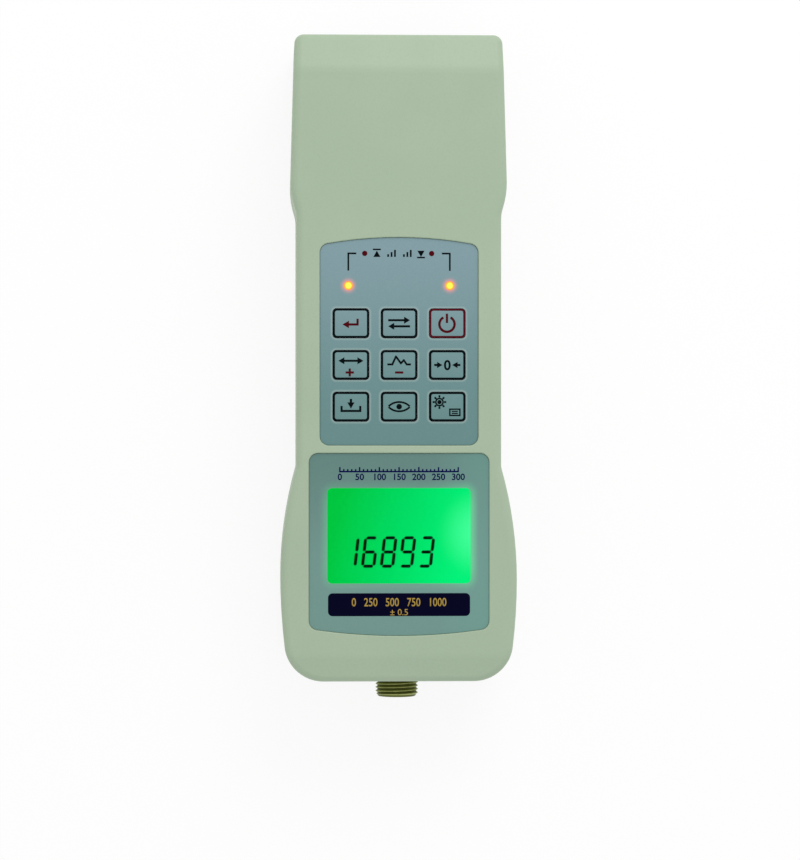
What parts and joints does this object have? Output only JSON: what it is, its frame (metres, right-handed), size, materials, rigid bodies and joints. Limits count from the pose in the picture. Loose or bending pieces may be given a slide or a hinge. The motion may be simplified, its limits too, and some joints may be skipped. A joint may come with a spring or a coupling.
{
  "type": "force gauge",
  "caption": "Hand-held digital force gauge: flat two-shell case with sunk keypad and lit display, sensor socket at the tail.",
  "frame": {"origin": "middle of the overall length and width, on the flat rear face", "axes": "+Z out of the front face, +Y towards the head end, -Y towards the sensor socket, +X to the right of the keypad"},
  "size_m": [0.066, 0.186, 0.036],
  "materials": {
    "housing_plastic": "pale sage-green moulded ABS, finely textured",
    "keypad_film": "satin blue-grey polyester film",
    "display_film": "satin blue-grey polyester film",
    "laminate": "translucent polyester",
    "dome_steel": "bright spring steel",
    "lamp_resin": "clear amber resin, lit",
    "lens_acrylic": "clear acrylic",
    "lcd_panel": "display glass with black digits",
    "backlight_green": "lit diffuser plate",
    "white_plastic": "white moulded nylon",
    "black_plastic": "black glass-filled plastic",
    "board_laminate": "green solder resist",
    "plated_steel": "bright plated steel",
    "capacitor_can": "aluminium can",
    "battery_can": "nickel-plated cans",
    "sleeve_vinyl": "blue shrink sleeve",
    "elastomer": "soft black rubber",
    "plated_brass": "dull nickel-plated brass",
    "brass": "turned brass",
    "wire_vinyl": "flexible vinyl insulation"
  },
  "bodies": {
    "housing": {"amplifier_shield": "plated_steel", "backlight_box": "white_plastic", "backlight_diffuser": "backlight_green", "backlight_lamps": "backlight_green", "battery_cells": "battery_can", "battery_leads": "wire_vinyl", "battery_pad": "elastomer", "battery_sleeve": "sleeve_vinyl", "board_chips": "black_plastic", "board_screws": "plated_steel", "buzzer": "black_plastic", "capacitor": "capacitor_can", "case_screws": "plated_steel", "contact_strips": "elastomer", "dc_jack": "black_plastic", "display_overlay": "display_film", "front_shell": "housing_plastic", "jack_pin": "plated_steel", "keypad_circuit": "laminate", "keypad_connector": "black_plastic", "keypad_overlay": "keypad_film", "keypad_spacer": "laminate", "keypad_tail": "laminate", "lamp_high": "lamp_resin", "lamp_low": "lamp_resin", "lcd_bezel": "black_plastic", "lcd_glass": "lcd_panel", "lcd_window": "lens_acrylic", "main_board": "board_laminate", "mount_inserts": "brass", "port_board": "board_laminate", "port_cable": "wire_vinyl", "port_header": "white_plastic", "port_screws": "plated_steel", "rear_shell": "housing_plastic", "sensor_leads": "wire_vinyl", "sensor_socket": "plated_brass", "snap_domes": "dome_steel", "socket_insert": "black_plastic", "socket_pins": "brass", "socket_seal": "elastomer", "usb_port": "plated_steel", "usb_tongue": "white_plastic", "wire_headers": "white_plastic"},
    "set_key": {"key_set": "keypad_film"},
    "units_key": {"key_units": "keypad_film"},
    "power_key": {"key_power": "keypad_film"},
    "plus_key": {"key_plus": "keypad_film"},
    "minus_key": {"key_minus": "keypad_film"},
    "zero_key": {"key_zero": "keypad_film"},
    "save_key": {"key_save": "keypad_film"},
    "view_key": {"key_view": "keypad_film"},
    "light_key": {"key_light": "keypad_film"}
  },
  "joints": [
    {"name": "set_key_press", "type": "slide", "parent": "housing", "child": "set_key", "axis": [0, 0, -1], "range_m": [0, 0.00035], "stiffness_N_per_m": 5000},
    {"name": "units_key_press", "type": "slide", "parent": "housing", "child": "units_key", "axis": [0, 0, -1], "range_m": [0, 0.00035], "stiffness_N_per_m": 5000},
    {"name": "power_key_press", "type": "slide", "parent": "housing", "child": "power_key", "axis": [0, 0, -1], "range_m": [0, 0.00035], "stiffness_N_per_m": 5000},
    {"name": "plus_key_press", "type": "slide", "parent": "housing", "child": "plus_key", "axis": [0, 0, -1], "range_m": [0, 0.00035], "stiffness_N_per_m": 5000},
    {"name": "minus_key_press", "type": "slide", "parent": "housing", "child": "minus_key", "axis": [0, 0, -1], "range_m": [0, 0.00035], "stiffness_N_per_m": 5000},
    {"name": "zero_key_press", "type": "slide", "parent": "housing", "child": "zero_key", "axis": [0, 0, -1], "range_m": [0, 0.00035], "stiffness_N_per_m": 5000},
    {"name": "save_key_press", "type": "slide", "parent": "housing", "child": "save_key", "axis": [0, 0, -1], "range_m": [0, 0.00035], "stiffness_N_per_m": 5000},
    {"name": "view_key_press", "type": "slide", "parent": "housing", "child": "view_key", "axis": [0, 0, -1], "range_m": [0, 0.00035], "stiffness_N_per_m": 5000},
    {"name": "light_key_press", "type": "slide", "parent": "housing", "child": "light_key", "axis": [0, 0, -1], "range_m": [0, 0.00035], "stiffness_N_per_m": 5000}
  ]
}
